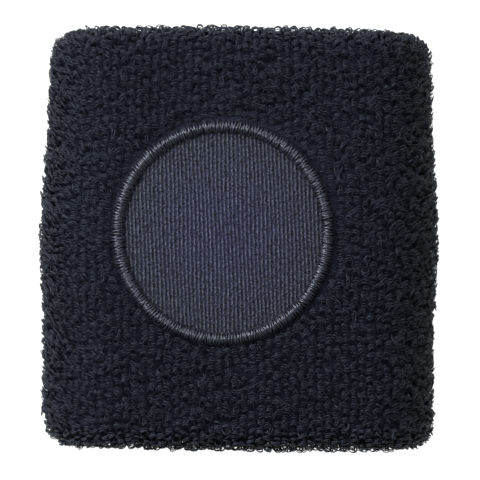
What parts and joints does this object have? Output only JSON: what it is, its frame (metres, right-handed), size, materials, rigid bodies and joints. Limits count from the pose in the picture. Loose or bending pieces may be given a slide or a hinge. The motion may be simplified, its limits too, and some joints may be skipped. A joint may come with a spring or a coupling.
{
  "type": "sweat wristband",
  "caption": "Knitted terry sweat wristband: a soft double-layer tube, open at both ends, with a round ribbed patch sewn on under a raised satin-stitched border.",
  "frame": {"origin": "centre of the flat underside, with the band lying on its back and the patch up", "axes": "+Y along the arm, towards the top of the patch; +Z out of the patched face; +X across the band, to the right as the patch is looked at"},
  "size_m": [0.075, 0.08, 0.0278],
  "materials": {
    "terry": "looped cotton pile, dull, navy black",
    "ground": "plain fine knit, dull, navy black",
    "elastic": "covered elastic yarn, dull",
    "thread": "sewing thread, faint sheen",
    "patch": "smooth fine-ribbed cloth, slight sheen, slate blue",
    "border": "satin-stitched embroidery thread, soft sheen",
    "backing": "thin non-woven, matt"
  },
  "bodies": {
    "root": {"terry_pile": "terry", "ground_knit": "ground", "elastic_yarn": "elastic", "seam_needle_thread": "thread", "seam_upper_looper": "thread", "seam_lower_looper": "thread", "patch_cloth": "patch", "patch_backing": "backing", "border_thread": "border", "border_bobbin_thread": "thread"}
  },
  "joints": []
}
